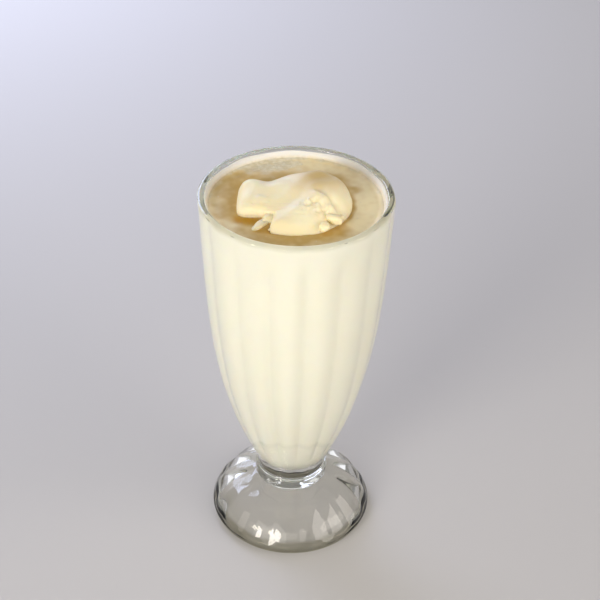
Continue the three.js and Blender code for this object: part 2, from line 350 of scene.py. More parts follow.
def node(tree, kind, inputs=None, **settings):
    """Adds a node with its settings; an input is a value, or a socket to link from."""
    made = tree.nodes.new(kind)
    for key, value in settings.items():
        setattr(made, key, value)
    for key, value in (inputs or {}).items():
        if isinstance(value, bpy.types.NodeSocket):
            tree.links.new(value, made.inputs[key])
        else:
            made.inputs[key].default_value = value
    return made


def noise(tree, place, size, detail):
    """Smooth noise from 0 to 1, in patches of about a size in millimetres."""
    inputs = {"Vector": place, "Scale": 1 / (size * MM), "Detail": detail}
    return node(tree, "ShaderNodeTexNoise", inputs).outputs["Fac"]


def ramp(tree, value, stops):
    """Colours along a value: each stop is a position from 0 to 1 and an sRGB hex colour, in rising order."""
    made = node(tree, "ShaderNodeValToRGB", {"Fac": value})
    elements = made.color_ramp.elements
    elements.remove(elements[1])
    elements[0].position, elements[0].color = stops[0][0], linear(stops[0][1])
    for position, colour in stops[1:]:
        elements.new(position).color = linear(colour)
    return made.outputs["Color"]


def mask(tree, name):
    """One of a piece's attributes, as a number from 0 to 1."""
    return node(tree, "ShaderNodeAttribute", attribute_name=name).outputs["Fac"]


def mixed(tree, share, low, high):
    """A colour between two others, by a share from 0 to 1."""
    return node(tree, "ShaderNodeMix", {0: share, 6: low, 7: high}, data_type="RGBA").outputs[2]


def new_material(name):
    """An empty node material and its tree."""
    material = bpy.data.materials.new(name)
    material.use_nodes = True
    material.node_tree.nodes.clear()
    return material, material.node_tree


def finish_material(tree, shader_inputs):
    """Ends a material in a Principled shader with the given inputs."""
    shader = node(tree, "ShaderNodeBsdfPrincipled", shader_inputs)
    node(tree, "ShaderNodeOutputMaterial", {"Surface": shader.outputs[0]})


def pressed_glass_material():
    """Soda-lime glass, pressed in a mould and fire-polished: clear, glossy, faintly grey-green in depth."""
    material, tree = new_material("pressed_soda_lime_glass")
    place = node(tree, "ShaderNodeTexCoord").outputs["Object"]
    # Pressed glass is never quite flat: swells of about 12 mm across, far less than 0.1 mm high
    swell = noise(tree, place, 12, 1.0)
    relief = node(tree, "ShaderNodeBump", {"Height": swell, "Distance": 0.05 * MM, "Strength": 0.6})
    height = node(tree, "ShaderNodeSeparateXYZ", {0: place}).outputs["Z"]
    rise = node(tree, "ShaderNodeMapRange", {"Value": height, "From Max": HEIGHT * MM}).outputs["Result"]
    # Painted shade: the thick rounded edges of the foot and the lip are tinted olive grey, partly for their
    # greater depth of glass and partly for the dark shade seen through them; between them the glass is clear
    edge_shade_tint = ramp(tree, rise, (
        (0.9 * FOOT_EDGE_Z / HEIGHT, "#B6B3A0"),
        (1.35 * FOOT_EDGE_Z / HEIGHT, "#F2F2EF"),
        ((LEVEL_Z + 2.2) / HEIGHT, "#F2F2EF"),
        (1.0, "#BDBBAA"),
    ))
    shader = node(tree, "ShaderNodeBsdfPrincipled", {
        "Base Color": edge_shade_tint,
        "Roughness": 0.015,
        "IOR": 1.52,
        "Transmission Weight": 1.0,
        "Normal": relief.outputs["Normal"],
    })
    # Clear walls let the lamps through to the drink; the foot's thick edge shades more
    shade = ramp(tree, rise, (
        (0.7 * FOOT_EDGE_Z / HEIGHT, "#8C8876"),
        (1.1 * FOOT_EDGE_Z / HEIGHT, "#C4C0B8"),
        (NECK_Z / HEIGHT, "#E2E1DD"),
    ))
    clear = node(tree, "ShaderNodeBsdfTransparent", {"Color": shade})
    shadow_ray = node(tree, "ShaderNodeLightPath").outputs["Is Shadow Ray"]
    both = node(tree, "ShaderNodeMixShader", {0: shadow_ray, 1: shader.outputs[0], 2: clear.outputs[0]})
    # Iron in the glass takes up light over centimetres, so thick glass looks a little greener
    depth = node(tree, "ShaderNodeVolumeAbsorption", {"Color": linear("#C0BFAB"), "Density": 0.014 / MM})
    node(tree, "ShaderNodeOutputMaterial", {"Surface": both.outputs[0], "Volume": depth.outputs[0]})
    return material


def milkshake_material():
    """Milk blended with ice cream: opaque cream behind the glass, a tan liquid surface and white froth.

    The piece's attributes say where each look lies: top on the surface, froth where bubbles lie, film on the
    wall above, tan where clear liquid shows and where painted shade darkens the top near the scoop, and
    amber in the melted pools.
    """
    material, tree = new_material("blended_vanilla_milkshake")
    place = node(tree, "ShaderNodeTexCoord").outputs["Object"]
    # Fat and air settle unevenly: soft clouds of about 25 mm in the body
    body = mixed(tree, noise(tree, place, 25, 3.0), linear("#F3F2E5"), linear("#F9F8EE"))
    # Specks of froth of about 1.6 mm
    specks = node(tree, "ShaderNodeMapRange", {
        "Value": noise(tree, place, 1.6, 2.0),
        "From Min": 0.38,
        "From Max": 0.62,
    }).outputs["Result"]
    froth = mixed(tree, specks, linear("#DCD0B0"), linear("#E9E0C9"))
    # Tan for clear liquid, deepening into painted shade close round the scoop
    surface = mixed(tree, mask(tree, "tan"), linear("#F8E6B8"), linear("#CBA85E"))
    surface = mixed(tree, mask(tree, "amber"), surface, linear("#BE8C12"))
    surface = mixed(tree, mask(tree, "froth"), surface, froth)
    surface = mixed(tree, mask(tree, "film"), surface, linear("#E6E4E1"))
    colour = mixed(tree, mask(tree, "top"), body, surface)
    finish_material(tree, {
        "Base Color": colour,
        "Roughness": 0.32,
        "IOR": 1.35,
        "Subsurface Weight": 0.35,
        "Subsurface Radius": (1.0, 0.8, 0.5),
        "Subsurface Scale": 1.5 * MM,
    })
    return material


def ice_cream_material():
    """Vanilla ice cream, scooped and half melted, with fine frozen grain all over.

    The piece's attribute melted is 1 on the hump's top, where painted shade darkens it, since it faces away
    from the light.
    """
    material, tree = new_material("vanilla_ice_cream")
    place = node(tree, "ShaderNodeTexCoord").outputs["Object"]
    # Frozen grains of about 1 mm, and paler patches of about 14 mm
    grain = noise(tree, place, 1.1, 4.0)
    cream = ramp(tree, noise(tree, place, 14, 2.0), ((0.3, "#F8E6BA"), (0.7, "#FCF0CE")))
    # Painted shade on the hump's top, which faces away from the light
    shaded_cream = mixed(tree, mask(tree, "melted"), cream, linear("#CFB376"))
    relief = node(tree, "ShaderNodeBump", {"Height": grain, "Distance": 0.12 * MM, "Strength": 0.5})
    finish_material(tree, {
        "Base Color": shaded_cream,
        "Roughness": 0.42,
        "IOR": 1.36,
        "Subsurface Weight": 0.5,
        "Subsurface Radius": (1.0, 0.75, 0.4),
        "Subsurface Scale": 2.0 * MM,
        "Normal": relief.outputs["Normal"],
    })
    return material


def froth_material():
    """Milk froth: thin-skinned bubbles, white and slightly glossy."""
    material, tree = new_material("milk_froth")
    finish_material(tree, {
        "Base Color": linear("#EADFC6"),
        "Roughness": 0.22,
        "IOR": 1.34,
        "Subsurface Weight": 0.4,
        "Subsurface Radius": (1.0, 0.9, 0.7),
        "Subsurface Scale": 0.5 * MM,
    })
    return material


def stage_material(look):
    """Matt studio paper, pale grey."""
    material, tree = new_material("matt_studio_paper")
    finish_material(tree, {"Base Color": (*look.floor_colour, 1.0), "Roughness": 0.85})
    return material


# Shapes


def bowl_bottom():
    """The bowl's rounded bottom: a curve from the wall's tangent to the floor's."""
    corner_z = BOWL_FLOOR_Z + BOWL_CORNER
    corner = inner_radius(corner_z)
    slope = inner_radius(corner_z + 0.5) - inner_radius(corner_z - 0.5)
    return bend((corner, corner_z), (corner - slope * BOWL_CORNER, BOWL_FLOOR_Z), (0, BOWL_FLOOR_Z))[1:]


def glass_profile():
    """The glass's section: from the hollow's roof round the foot, up outside, over the lip, down inside."""
    lip_z = HEIGHT - LIP_OUTER_ROUND
    body_z = np.linspace(COLLAR_TOP_Z + BOWL_START, lip_z, 300)
    inner_lip_z = HEIGHT - LIP_INNER_ROUND
    edge = inner_radius(inner_lip_z)
    corner_z = BOWL_FLOOR_Z + BOWL_CORNER
    wall_z = np.linspace(inner_lip_z, corner_z, 300)
    profile = np.concatenate([
        bend((0, HOLLOW_HEIGHT), HOLLOW_CROWN, (HOLLOW_RADIUS, 0)),
        arc((FOOT_RING_RADIUS, FOOT_EDGE_Z), FOOT_RADIUS - FOOT_RING_RADIUS, FOOT_EDGE_Z, -90, 0),
        bend(FOOT_SHOULDER, FOOT_CROWN, (COLLAR_RADIUS - COLLAR_INSET, COLLAR_BOTTOM_Z)),
        [(COLLAR_RADIUS, COLLAR_BOTTOM_Z + COLLAR_LEAN)],
        arc((COLLAR_RADIUS - COLLAR_ROUND, COLLAR_TOP_Z - COLLAR_ROUND), COLLAR_ROUND, COLLAR_ROUND, 0, 75),
        np.stack([bowl_radius(body_z), body_z], -1),
        arc((RIM_RADIUS - LIP_OUTER_ROUND, lip_z), LIP_OUTER_ROUND, LIP_OUTER_ROUND, 10, 90),
        arc((edge + LIP_INNER_ROUND, inner_lip_z), LIP_INNER_ROUND, LIP_INNER_ROUND, 90, 180),
        np.stack([inner_radius(wall_z), wall_z], -1),
        bowl_bottom(),
    ])
    return resample(profile, PROFILE_POINTS, PROFILE_SOFTNESS)


def make_glass(look):
    """The glass: its section spun round Z, with the flutes pressed into the outside.

    The outside is moved inwards by the flute's depth at its height times the valley function of the azimuth;
    the lip's inner half keeps its circle.
    """
    radius, azimuth, z = spin(glass_profile(), COLUMNS)
    outside = np.arange(len(radius)) < np.argmax(radius[:, 0] + z[:, 0])
    lip = smoothstep(radius, MOUTH_RADIUS + 0.5 * RIM_WALL, RIM_RADIUS - 0.3)
    lip_share = np.where(z < LEVEL_Z, 1, lip)
    under = radius < np.where(z < COLLAR_BOTTOM_Z, hollow_limit(z), 0)
    pressed = outside[:, None] & ~under
    depth = np.where(pressed, flute_depth(z, look) * lip_share * valley(azimuth), 0)
    wall = ~outside[:, None] & (z > BOWL_FLOOR_Z)
    depth = depth + np.where(wall, inner_flute(azimuth, z, look), 0)
    return add_skin("soda_glass", cartesian(radius - depth, azimuth, z), pressed_glass_material())


def hollow_limit(z):
    """A radius between the hollow's roof and the foot's top, to tell the two apart at a height."""
    beyond_edge, narrowing = 1.0, 16.0
    return HOLLOW_RADIUS + beyond_edge - narrowing * np.clip(z / HOLLOW_HEIGHT, 0, 1) ** 2


def scoop_outline(azimuth, look, notch=None):
    """The scoop's outline seen from above: a superellipse less bells for the bites and the melted notch.

    The angle is counted from +X, anticlockwise. The notch's bell is of the fourth power, so flatter on top.
    """
    across = np.abs(np.cos(azimuth) * MM / (look.width / 2)) ** SCOOP_PLAN_POWER
    along = np.abs(np.sin(azimuth) * MM / (look.depth / 2)) ** SCOOP_PLAN_POWER
    radius = (across + along) ** (-1 / SCOOP_PLAN_POWER)
    notch = look.notch / MM if notch is None else notch
    for centre, width, depth, power in ((*NOTCH, notch, 4), *((*bite, 2) for bite in SCOOP_BITES)):
        turn = azimuth - np.radians(centre)
        radius = radius - depth * bump(np.arctan2(np.sin(turn), np.cos(turn)), np.radians(width), power)
    return radius


def scoop_share(x, y, look, notch=None):
    """Distance from the scoop's centre as a share of its outline, and that outline, seen from above."""
    dx, dy = x - SCOOP_CENTRE[0], y - SCOOP_CENTRE[1]
    outline = scoop_outline(np.arctan2(dy, dx), look, notch)
    return np.hypot(dx, dy) / outline, outline


# Lumps of the scoop: place, half widths, height, and the bell's power: a flat top has a high one
SCOOP_LUMPS = (
    ((11.0, 2.0), (10.5, 12.0), 3.8, 5),
    ((-20.2, 6.5), (3.6, 4.0), 1.5, 2),
    ((-11.5, 7.5), (6.5, 7.0), -2.6, 2),
    ((-6.0, -14.0), (10.0, 5.0), 0.6, 2),
    ((-3.5, 3.0), (9.0, 10.0), 1.2, 2),
)
# Fine creases of the scoop: two ends, width and depth of each
SCOOP_CREASES = (
    ((13.4, -15.8), (18.4, -13.6), 0.9, 0.9),
    ((-16.4, -11.0), (-8.8, -13.0), 0.5, 0.4),
    ((-2.0, -16.2), (3.4, -16.8), 0.6, 0.18),
    ((-23.0, -10.6), (-18.6, -11.6), 0.55, 0.5),
)
# Small bumps and pits of the scoop: place, width and height
SCOOP_BUMPS = (
    ((-0.2, -14.0), 2.4, 0.2),
    ((-15.2, -4.4), 1.8, 0.5),
    ((-12.6, -5.2), 1.6, 0.4),
    ((-17.5, -7.2), 1.0, -0.25),
    ((-13.4, -8.0), 1.2, -0.25),
    ((-19.0, -8.8), 2.2, 0.3),
    ((-12.0, -10.4), 3.0, 0.35),
)
# The fold from the hump to the right: start, direction and length, and the width over which its ends fade
FOLD_START = (9.8, -5.0)
FOLD_DIRECTION = (6.0 / 8.14, -5.5 / 8.14)
FOLD_LENGTH = 8.5
FOLD_FADE = 2.2
# Its groove: depth, and widths behind and in front; and the ridge before it: height, distance and width
FOLD_GROOVE = (0.7, 2.2, 1.1)
FOLD_RIDGE = (0.7, 2.4, 1.8)
# The torn strip in front: place, half widths and lean; and height, wavelength and seed of its crags
TORN_PLACE = (9.5, -13.2)
TORN_HALVES = (7.6, 4.4)
TORN_LEAN = 0.2
TORN_CRAGS = ((0.28, 3.2, 11), (0.11, 1.9, 12))
# Drag lines at the left: place, how many times wider than deep, half depth, slope, wavelength and height
DRAG_PLACE = (-13.0, -9.5)
DRAG_STRETCH = 2.2
DRAG_HALF_DEPTH = 4.5
DRAG_SLOPE = 0.12
DRAG_WAVELENGTH = 1.5
DRAG_HEIGHT = 0.07
# Painted shade on the hump's top, which faces away from the light: place and half widths
HUMP_SHADE = ((10.5, 6.0), (11.0, 10.0))


def stretch_distance(x, y, start, end):
    """Distance in plan from each place to the nearest point between two ends."""
    (ax, ay), (bx, by) = start, end
    t = np.clip(((x - ax) * (bx - ax) + (y - ay) * (by - ay)) / ((bx - ax) ** 2 + (by - ay) ** 2), 0, 1)
    return np.hypot(x - ax - t * (bx - ax), y - ay - t * (by - ay))


def scoop_relief(x, y):
    """Height of the scoop's fine relief at places seen from above.

    A fold runs from the hump to the right, a groove with a ridge before it, and a strip in front is torn
    into crags. Creases, bumps and pits are bells round their lines and places, drag lines are waves of one
    direction inside a bell, and low swells lie over all.
    """
    dx, dy = x - FOLD_START[0], y - FOLD_START[1]
    along = dx * FOLD_DIRECTION[0] + dy * FOLD_DIRECTION[1]
    behind = dy * FOLD_DIRECTION[0] - dx * FOLD_DIRECTION[1]
    depth, gentle, steep = FOLD_GROOVE
    height, before, width = FOLD_RIDGE
    fold = height * bump(behind + before, width) - depth * bump(behind, np.where(behind > 0, gentle, steep))
    relief = fold * bump(np.maximum(np.maximum(-along, along - FOLD_LENGTH), 0), FOLD_FADE)
    places = np.stack([x, y, x * 0.0], -1)
    dx, dy = x - TORN_PLACE[0], y - TORN_PLACE[1]
    torn = bump(np.hypot(dx / TORN_HALVES[0], (dy + TORN_LEAN * dx) / TORN_HALVES[1]), 1.0, 4)
    relief = relief + torn * sum(high * waves(places, length, seed, 48) for high, length, seed in TORN_CRAGS)
    for start, end, width, depth in SCOOP_CREASES:
        relief = relief - depth * bump(stretch_distance(x, y, start, end), width)
    for (cx, cy), width, height in SCOOP_BUMPS:
        relief = relief + height * bump(np.hypot(x - cx, y - cy), width)
    drag = bump(np.hypot((x - DRAG_PLACE[0]) / DRAG_STRETCH, y - DRAG_PLACE[1]), DRAG_HALF_DEPTH)
    lines = waves(np.stack([x * DRAG_SLOPE, y + DRAG_SLOPE * x], -1), DRAG_WAVELENGTH, 13, 40)
    return relief + drag * DRAG_HEIGHT * lines + 0.14 * waves(places, 9.0, 14, 40)


def outline_distance(x, y, look, notch, from_deg, to_deg, steps=240):
    """Distance in plan to the scoop's outline between two angles, for a depth of its notch."""
    angle = np.radians(np.linspace(from_deg, to_deg, steps + 1))
    radius = scoop_outline(angle, look, notch)
    nearest = np.full(np.shape(x), np.inf)
    for ox, oy in zip(SCOOP_CENTRE[0] + radius * np.cos(angle), SCOOP_CENTRE[1] + radius * np.sin(angle)):
        nearest = np.minimum(nearest, np.hypot(x - ox, y - oy))
    return nearest


def quarter_round(t, power=2.0):
    """Rises from 0 to 1 as a quarter of a superellipse while t goes from 0 to 1, and stays at 1."""
    return (1 - (1 - np.clip(t, 0, 1)) ** power) ** (1 / power)


def scoop_height(x, y, look):
    """Height of the scoop above the drink's level at places seen from above.

    The dome's side is a quarter of a superellipse over the distance in from the outline, its low crown is a
    paraboloid of the share of the outline, and lumps are bells. From the notch the melted top rises as a
    small quarter circle and then a slope. The height is the lesser of the two, rounded where they meet.
    """
    forward = smoothstep(SCOOP_CENTRE[1] - y, 0, FORWARD_SHARE * look.depth / MM / 2)
    rounding, power = (behind + (front - behind) * forward for behind, front in (SCOOP_ROUND, SCOOP_SECTION))
    side = quarter_round(outline_distance(x, y, look, 0, 0, 360) / rounding, power)
    crown = 1 - np.clip(scoop_share(x, y, look, 0)[0], 0, 1) ** 2
    lumps = sum(
        lump * bump(np.hypot((x - cx) / wx, (y - cy) / wy), 1, power)
        for (cx, cy), (wx, wy), lump, power in SCOOP_LUMPS
    )
    dome = look.rise / MM * (SIDE_SHARE * side + (1 - SIDE_SHARE) * crown)
    dome = dome + smoothstep(side, 0, LUMP_FADE) * lumps
    reach = NOTCH_REACH * NOTCH[1]
    away = outline_distance(x, y, look, look.notch / MM, NOTCH[0] - reach, NOTCH[0] + reach)
    edge = quarter_round(away / NOTCH_ROUND)
    melted = NOTCH_EDGE * edge + NOTCH_SLOPE * away
    lesser = sum(np.maximum(each, 1e-3) ** -MEETING_POWER for each in (dome, melted)) ** (-1 / MEETING_POWER)
    height = lesser + smoothstep(side * edge, *RELIEF_FADE) * scoop_relief(x, y)
    return np.where(scoop_share(x, y, look)[0] < 1 - 1e-9, height, 0)


def scoop_rings(look, columns=360, under=50, over=170):
    """The scoop as rings: half an ellipsoid under the drink's level, and the scoop's height over it.

    Rings stand closer together at the waterline than in the middle, by a sine below and a power above.
    """
    azimuth = np.arange(columns) * 2 * np.pi / columns
    sunk = np.sin(np.linspace(0, np.pi / 2, under))
    risen = 1 - np.linspace(0, 1, over)[1:] ** 1.7
    share, angle = np.meshgrid(np.concatenate([sunk, risen]), azimuth, indexing="ij")
    plan = scoop_outline(angle, look) * share
    x, y = SCOOP_CENTRE[0] + plan * np.cos(angle), SCOOP_CENTRE[1] + plan * np.sin(angle)
    z = -SCOOP_SUNK * np.sqrt(np.clip(1 - share**2, 0, 1))
    z[under:] = scoop_height(x[under:], y[under:], look)
    return np.stack([x, y, LEVEL_Z + z], -1)


def make_scoop(look):
    """The floating ice cream scoop, as a closed surface; its hump's top carries painted shade."""
    rings = scoop_rings(look)
    made = add_skin("vanilla_scoop", rings, ice_cream_material())
    # The attribute melted marks painted shade on the hump's top, which faces away from the light
    (cx, cy), (wx, wy) = HUMP_SHADE
    away = np.hypot((rings[..., 0] - cx) / wx, (rings[..., 1] - cy) / wy)
    set_attribute(made, "melted", skin_values(bump(away, 1, 3)))
    return made


# Crumbs beside the scoop: centre, half axes and turn about Z in degrees; the first two are a tongue of melt
CRUMBS = (
    ((-13.2, -15.9, 170.8), (7.2, 2.0, 1.1), 50.0),
    ((-10.2, -12.9, 171.3), (4.6, 2.6, 2.0), 42.0),
    ((15.6, -17.2, 174.0), (3.6, 2.1, 2.2), -25.0),
    ((11.6, -21.3, 172.9), (2.4, 2.3, 2.1), 0.0),
    ((18.2, -15.0, 173.4), (1.6, 1.3, 1.3), 30.0),
    ((-9.6, -20.9, 171.0), (1.5, 0.8, 0.7), 10.0),
    ((-6.0, -22.4, 170.9), (1.2, 0.6, 0.6), 0.0),
)


def make_crumbs():
    """Melting crumbs that lean on the scoop: ellipsoids, each made uneven by smooth noise."""
    rows, columns = 16, 28
    polar = np.linspace(-np.pi / 2, np.pi / 2, rows)
    turn = np.arange(columns) * 2 * np.pi / columns
    up, around = np.meshgrid(polar, turn, indexing="ij")
    ball = np.stack([np.cos(up) * np.cos(around), np.cos(up) * np.sin(around), np.sin(up)], -1)
    rings = []
    for seed, (centre, halves, degrees) in enumerate(CRUMBS):
        cos, sin = np.cos(np.radians(degrees)), np.sin(np.radians(degrees))
        shape = ball * halves * (1 + 0.07 * waves(ball, 1.3, 60 + seed))[..., None]
        shape = shape @ np.array([[cos, sin, 0], [-sin, cos, 0], [0, 0, 1]])
        rings.append(shape + centre)
    pieces = [skin_arrays(ring) for ring in rings]
    offsets = np.cumsum([0] + [len(vertices) for vertices, _, _ in pieces[:-1]])
    vertices = np.concatenate([piece[0] for piece in pieces])
    quads = np.concatenate([piece[1] + offset for piece, offset in zip(pieces, offsets)])
    triangles = np.concatenate([piece[2] + offset for piece, offset in zip(pieces, offsets)])
    return add_mesh("scoop_crumbs", vertices, quads, triangles, ice_cream_material())


# The ring of froth along the wall: its strength, and the distances from the wall between which it fades
FROTH_RING = 0.6
FROTH_RING_FADE = (1.0, 3.0)
# Patches of froth: place, how many times wider than deep, half depth and strength
FROTH_PATCHES = (
    ((-16, 30), 1.9, 8.5, 0.95),
    ((-4, 34), 2.6, 5.0, 0.5),
)
# How far tan, the colour of clear liquid and of painted shade near the scoop, reaches from the scoop on the
# right, and how much further left, in front and behind; the shares of its reach between which it fades; and
# a patch: place, half widths and strength
TAN_REACH = 1.6
TAN_REACH_LEFT = 7.0
TAN_REACH_FRONT = 6.0
TAN_REACH_BACK = 5.5
TAN_FADE = (0.35, 1.7)
TAN_PATCH = ((15, 21), (10, 5.5), 0.55)
# Pools of amber melt: two ends, width and strength
AMBER_POOLS = (
    ((-22.5, -13.6), (-17.5, -14.2), 3.6, 1.0),
    ((-15.0, -21.2), (-10.0, -21.6), 2.4, 0.6),
)


def surface_masks(x, y, look):
    """Where froth, tan liquid with painted shade and amber melt lie on the drink's top, each from 0 to 1."""
    places = np.stack([x, y, x * 0.0], -1)
    from_wall = inner_radius(LEVEL_Z) - np.hypot(x, y)
    share, outline = scoop_share(x, y, look)
    from_scoop = (share - 1) * outline
    ring = FROTH_RING * (1 - smoothstep(from_wall + 0.3 * waves(places, 6.0, 21), *FROTH_RING_FADE))
    patches = sum(
        strength * bump(np.hypot((x - cx) / stretch, y - cy), half)
        for (cx, cy), stretch, half, strength in FROTH_PATCHES
    )
    froth = np.clip(ring + patches, 0, 1)
    ragged = smoothstep(froth + 0.14 * waves(places, 4.5, 22), 0.25, 0.85)
    froth = np.clip(np.maximum(ring, ragged * froth), 0, 1)
    # Tan for clear liquid and painted shade: darkest round the scoop, reaching further left, front and back
    reach = TAN_REACH + TAN_REACH_LEFT * smoothstep(-x, -10, 18)
    reach = reach + TAN_REACH_FRONT * smoothstep(-y, 14, 24) + TAN_REACH_BACK * smoothstep(y, 4, 14)
    uneven = from_scoop + 0.12 * reach * waves(places, 9.0, 23)
    tan = 1 - smoothstep(uneven, *(share_of_reach * reach for share_of_reach in TAN_FADE))
    (cx, cy), (wx, wy), strength = TAN_PATCH
    tan = tan + strength * bump(np.hypot((x - cx) / wx, (y - cy) / wy), 1)
    tan = np.clip(tan + 0.05 * waves(places, 4.0, 24), 0, 1)
    amber = sum(
        strength * bump(stretch_distance(x, y, start, end), width, 3)
        for start, end, width, strength in AMBER_POOLS
    )
    return froth, tan, np.clip(amber, 0, 1)


def drink_top_z(x, y, look):
    """Height of the drink's top: its level, froth that climbs the wall, swells, and a dip round the scoop.

    Inside the scoop's outline it follows the scoop's underside, and reaches a little into it.
    """
    places = np.stack([x, y, x * 0.0], -1)
    froth, _, amber = surface_masks(x, y, look)
    from_wall = inner_radius(LEVEL_Z) - np.hypot(x, y)
    climb = FILM_FOOT_RISE * bump(np.maximum(from_wall - LEVEL_START, 0), LEVEL_WIDTH)
    swell = 0.06 * waves(places, 14.0, 32) + froth * 0.05 * waves(places, 1.7, 33)
    swell = swell * smoothstep(from_wall, LEVEL_START, 3)
    share, outline = scoop_share(x, y, look)
    dip = DIP_DEPTH * (bump(np.maximum((share - 1) * outline, 0), DIP_WIDTH) + amber)
    top = LEVEL_Z + climb + swell - dip
    under = LEVEL_Z - SCOOP_SUNK * np.sqrt(np.clip(1 - share**2, 0, 1)) + INTO_DRINK
    return np.where(share < 1, np.minimum(top, under), top)


def make_drink(look, scoop_look):
    """The milkshake: a side that follows the inner wall and reaches into it, a film above, and its top.

    The film climbs the wall to an uneven height, and thins from its foot to its edge by a power. The top's
    rings stand close together near the film.
    """
    section = glass_profile()
    inside = section[np.argmax(section.sum(axis=1)) + 1 :][::-1]
    inside = inside[inside[:, 1] < LEVEL_Z - 0.5]
    inside = np.concatenate([inside, [(inner_radius(LEVEL_Z), LEVEL_Z)]])
    along = np.gradient(inside, axis=0)
    outwards = np.stack([along[:, 1], -along[:, 0]], -1) / np.linalg.norm(along, axis=1)[:, None]
    side = inside + INTO_WALL * outwards
    side[0] = (0, BOWL_FLOOR_Z - INTO_WALL)
    side[-1] = (inner_radius(LEVEL_Z) + INTO_WALL, LEVEL_Z)
    side_radius, azimuth, side_height = spin(side, COLUMNS)
    side_radius = side_radius - inner_flute(azimuth, side_height, look)
    turn = azimuth[:1]
    circle = np.stack([np.sin(turn), np.cos(turn)], -1)
    climb = scoop_look.climb / MM * (1 + 0.07 * waves(circle, 0.5, 34))
    up = np.linspace(0, 1, 13)[1:, None]
    down = np.linspace(0.97, 0, 22)[:, None]
    film_z = LEVEL_Z + np.concatenate([up * climb, FILM_FOOT_RISE + down * (climb - FILM_FOOT_RISE)])
    thick = np.concatenate([up * 0 - INTO_WALL, FILM_THICKNESS + FILM_FOOT * (1 - down) ** FILM_FOOT_POWER])
    film_radius = inner_radius(film_z) - thick
    edge = inner_radius(LEVEL_Z) - FILM_THICKNESS - FILM_FOOT
    inwards = np.concatenate([np.linspace(edge - 0.2, edge - 4, 20), np.linspace(edge - 4.3, 0, 150)])
    top_radius = np.repeat(inwards[:, None], COLUMNS, axis=1)
    radius = np.concatenate([side_radius, film_radius, top_radius])
    azimuth = np.repeat(turn, len(radius), axis=0)
    z = np.concatenate([side_height, film_z, top_radius * 0])
    points = cartesian(radius, azimuth, z)
    first_top = len(side) + len(film_z)
    top = points[first_top:]
    top[..., 2] = drink_top_z(top[..., 0], top[..., 1], scoop_look)
    made = add_skin("milkshake_drink", points, milkshake_material())
    masks = zip(("froth", "tan", "amber"), surface_masks(points[..., 0], points[..., 1], scoop_look))
    facing_in = len(side) + len(up)
    on_top = np.zeros(radius.shape)
    on_top[facing_in:] = 1
    film = np.zeros(radius.shape)
    film[facing_in:first_top] = smoothstep(film_z[len(up) :], LEVEL_Z, LEVEL_Z + 2.0)
    set_attribute(made, "top", skin_values(on_top))
    set_attribute(made, "film", skin_values(film))
    for name, values in masks:
        set_attribute(made, name, skin_values(values * on_top))
    return made


def scattered_domes(places, radii, heights, sides=8):
    """Vertices and faces of small bubbles: each a cap of three rings and a top, standing in the surface."""
    levels = np.array([(1.0, -0.5), (0.95, 0.25), (0.6, 0.8)])
    turn = np.arange(sides) * 2 * np.pi / sides
    across, along = np.outer(levels[:, 0], np.cos(turn)), np.outer(levels[:, 0], np.sin(turn))
    ring = np.stack([across, along, np.repeat(levels[:, 1:], sides, axis=1)], -1).reshape(-1, 3)
    one = np.concatenate([ring, [(0, 0, 1.0)]])
    scale = np.stack([radii, radii, heights], -1)[:, None]
    vertices = (places[:, None] + one[None] * scale).reshape(-1, 3)
    j = np.arange(sides)
    k = (j + 1) % sides
    band = np.stack([j, k, k + sides, j + sides], -1)
    quads = np.concatenate([band, band + sides])
    last = (len(levels) - 1) * sides
    fan = np.stack([np.full(sides, len(ring)), last + j, last + k], -1)
    offset = (np.arange(len(places)) * len(one))[:, None, None]
    return vertices, (quads[None] + offset).reshape(-1, 4), (fan[None] + offset).reshape(-1, 3)


# The chance that a place keeps its bubble: anywhere, and how much more in full froth
BUBBLE_CHANCE = 0.004
BUBBLE_CHANCE_IN_FROTH = 0.35


def make_froth(look):
    """Bubbles of froth where the froth mask is high, drawn with a fixed seed."""
    draw = np.random.default_rng(41)
    limit = inner_radius(LEVEL_Z) - 0.5
    spots = draw.uniform(-limit, limit, (look.bubble_tries, 2))
    chance = draw.uniform(0, 1, len(spots))
    froth, _, _ = surface_masks(*spots.T, look)
    share, _ = scoop_share(*spots.T, look)
    likely = chance < BUBBLE_CHANCE + BUBBLE_CHANCE_IN_FROTH * froth**1.5
    spots = spots[(np.hypot(*spots.T) < limit) & (share > 1.04) & likely]
    radii = look.bubble_size / MM / 2 * draw.lognormal(0, 0.35, len(spots))
    z = drink_top_z(*spots.T, look)
    places = np.concatenate([spots, z[:, None]], axis=1)
    return add_mesh("surface_bubbles", *scattered_domes(places, radii, radii * 0.7), froth_material())


# The add-on


def length_field(name, description, default, least, most):
    """A length for the panel, given in millimetres."""
    return FloatProperty(
        name=name, description=description, default=default * MM, min=least * MM, max=most * MM,
        precision=5, unit="LENGTH",
    )


def power_field(name, description, default):
    """A lamp's power for the panel, in watts."""
    return FloatProperty(name=name, description=description, default=default, min=0.0, unit="POWER")


class MilkshakeGlass(bpy.types.PropertyGroup):
    """Sizes of the glass's flutes."""

    body_flute_depth: length_field("Body flutes", "Depth of the flutes down the bowl", 0.95, 0.0, 2)
    rim_flute_depth: length_field("Rim flutes", "Depth of the flutes at the rim", 0.75, 0.0, 2)
    foot_flute_depth: length_field("Foot flutes", "Depth of the flutes on the foot", 1.1, 0.0, 2)


